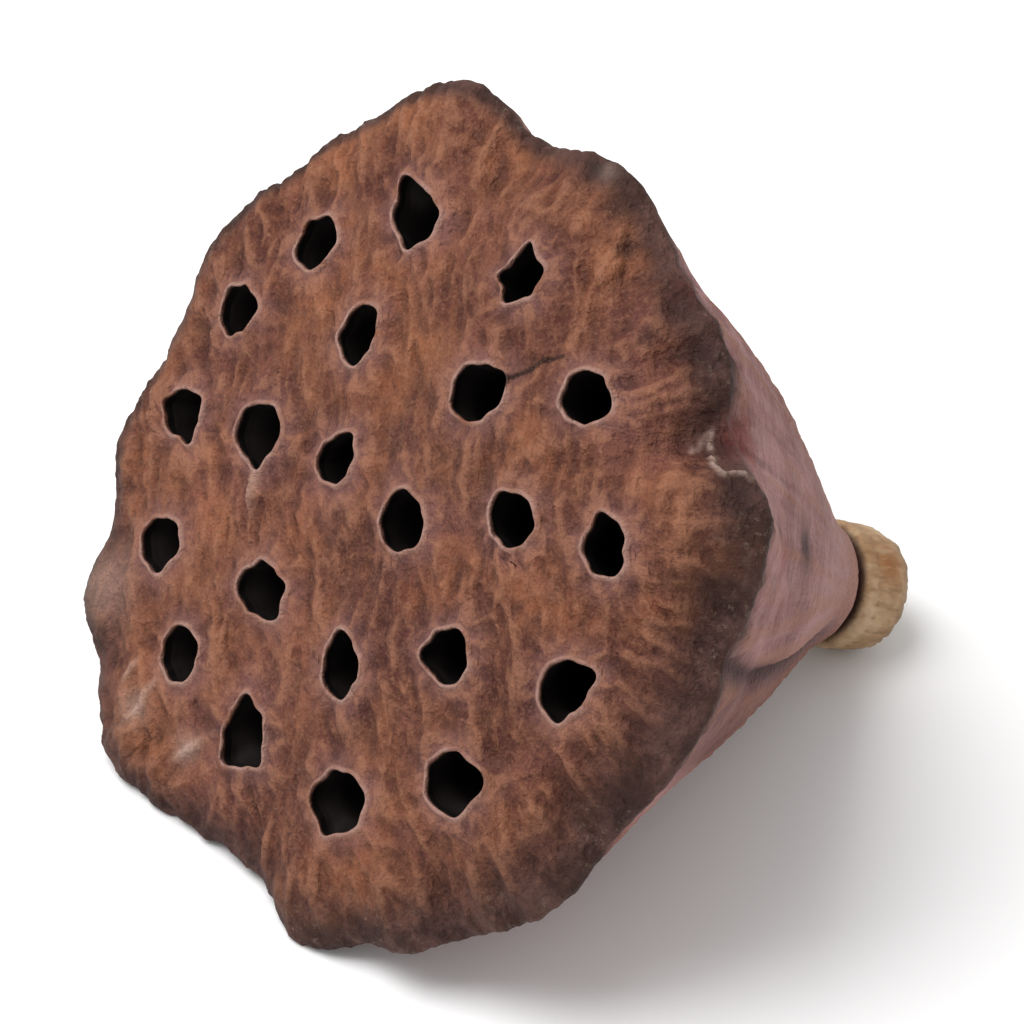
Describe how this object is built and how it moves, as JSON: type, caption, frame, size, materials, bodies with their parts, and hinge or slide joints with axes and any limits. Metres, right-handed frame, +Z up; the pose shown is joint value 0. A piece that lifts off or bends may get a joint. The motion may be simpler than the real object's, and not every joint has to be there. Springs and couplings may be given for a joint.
{
  "type": "dried lotus pod",
  "caption": "Dried seed head of a lotus lying on its side: a wavy-rimmed face with empty seed holes over a folded cone, with the stump of its stalk.",
  "frame": {"origin": "the middle of the footprint, on the surface that the pod lies on", "axes": "+Z up; +Y from the face towards the end of the stalk, with the face looking along -Y and 32 degrees up; +X across the face"},
  "size_m": [0.0656, 0.0654, 0.0574],
  "materials": {
    "spongy_tissue": "matte",
    "stalk": "matte"
  },
  "bodies": {
    "root": {"receptacle": "spongy_tissue", "stalk_stump": "stalk"}
  },
  "joints": []
}
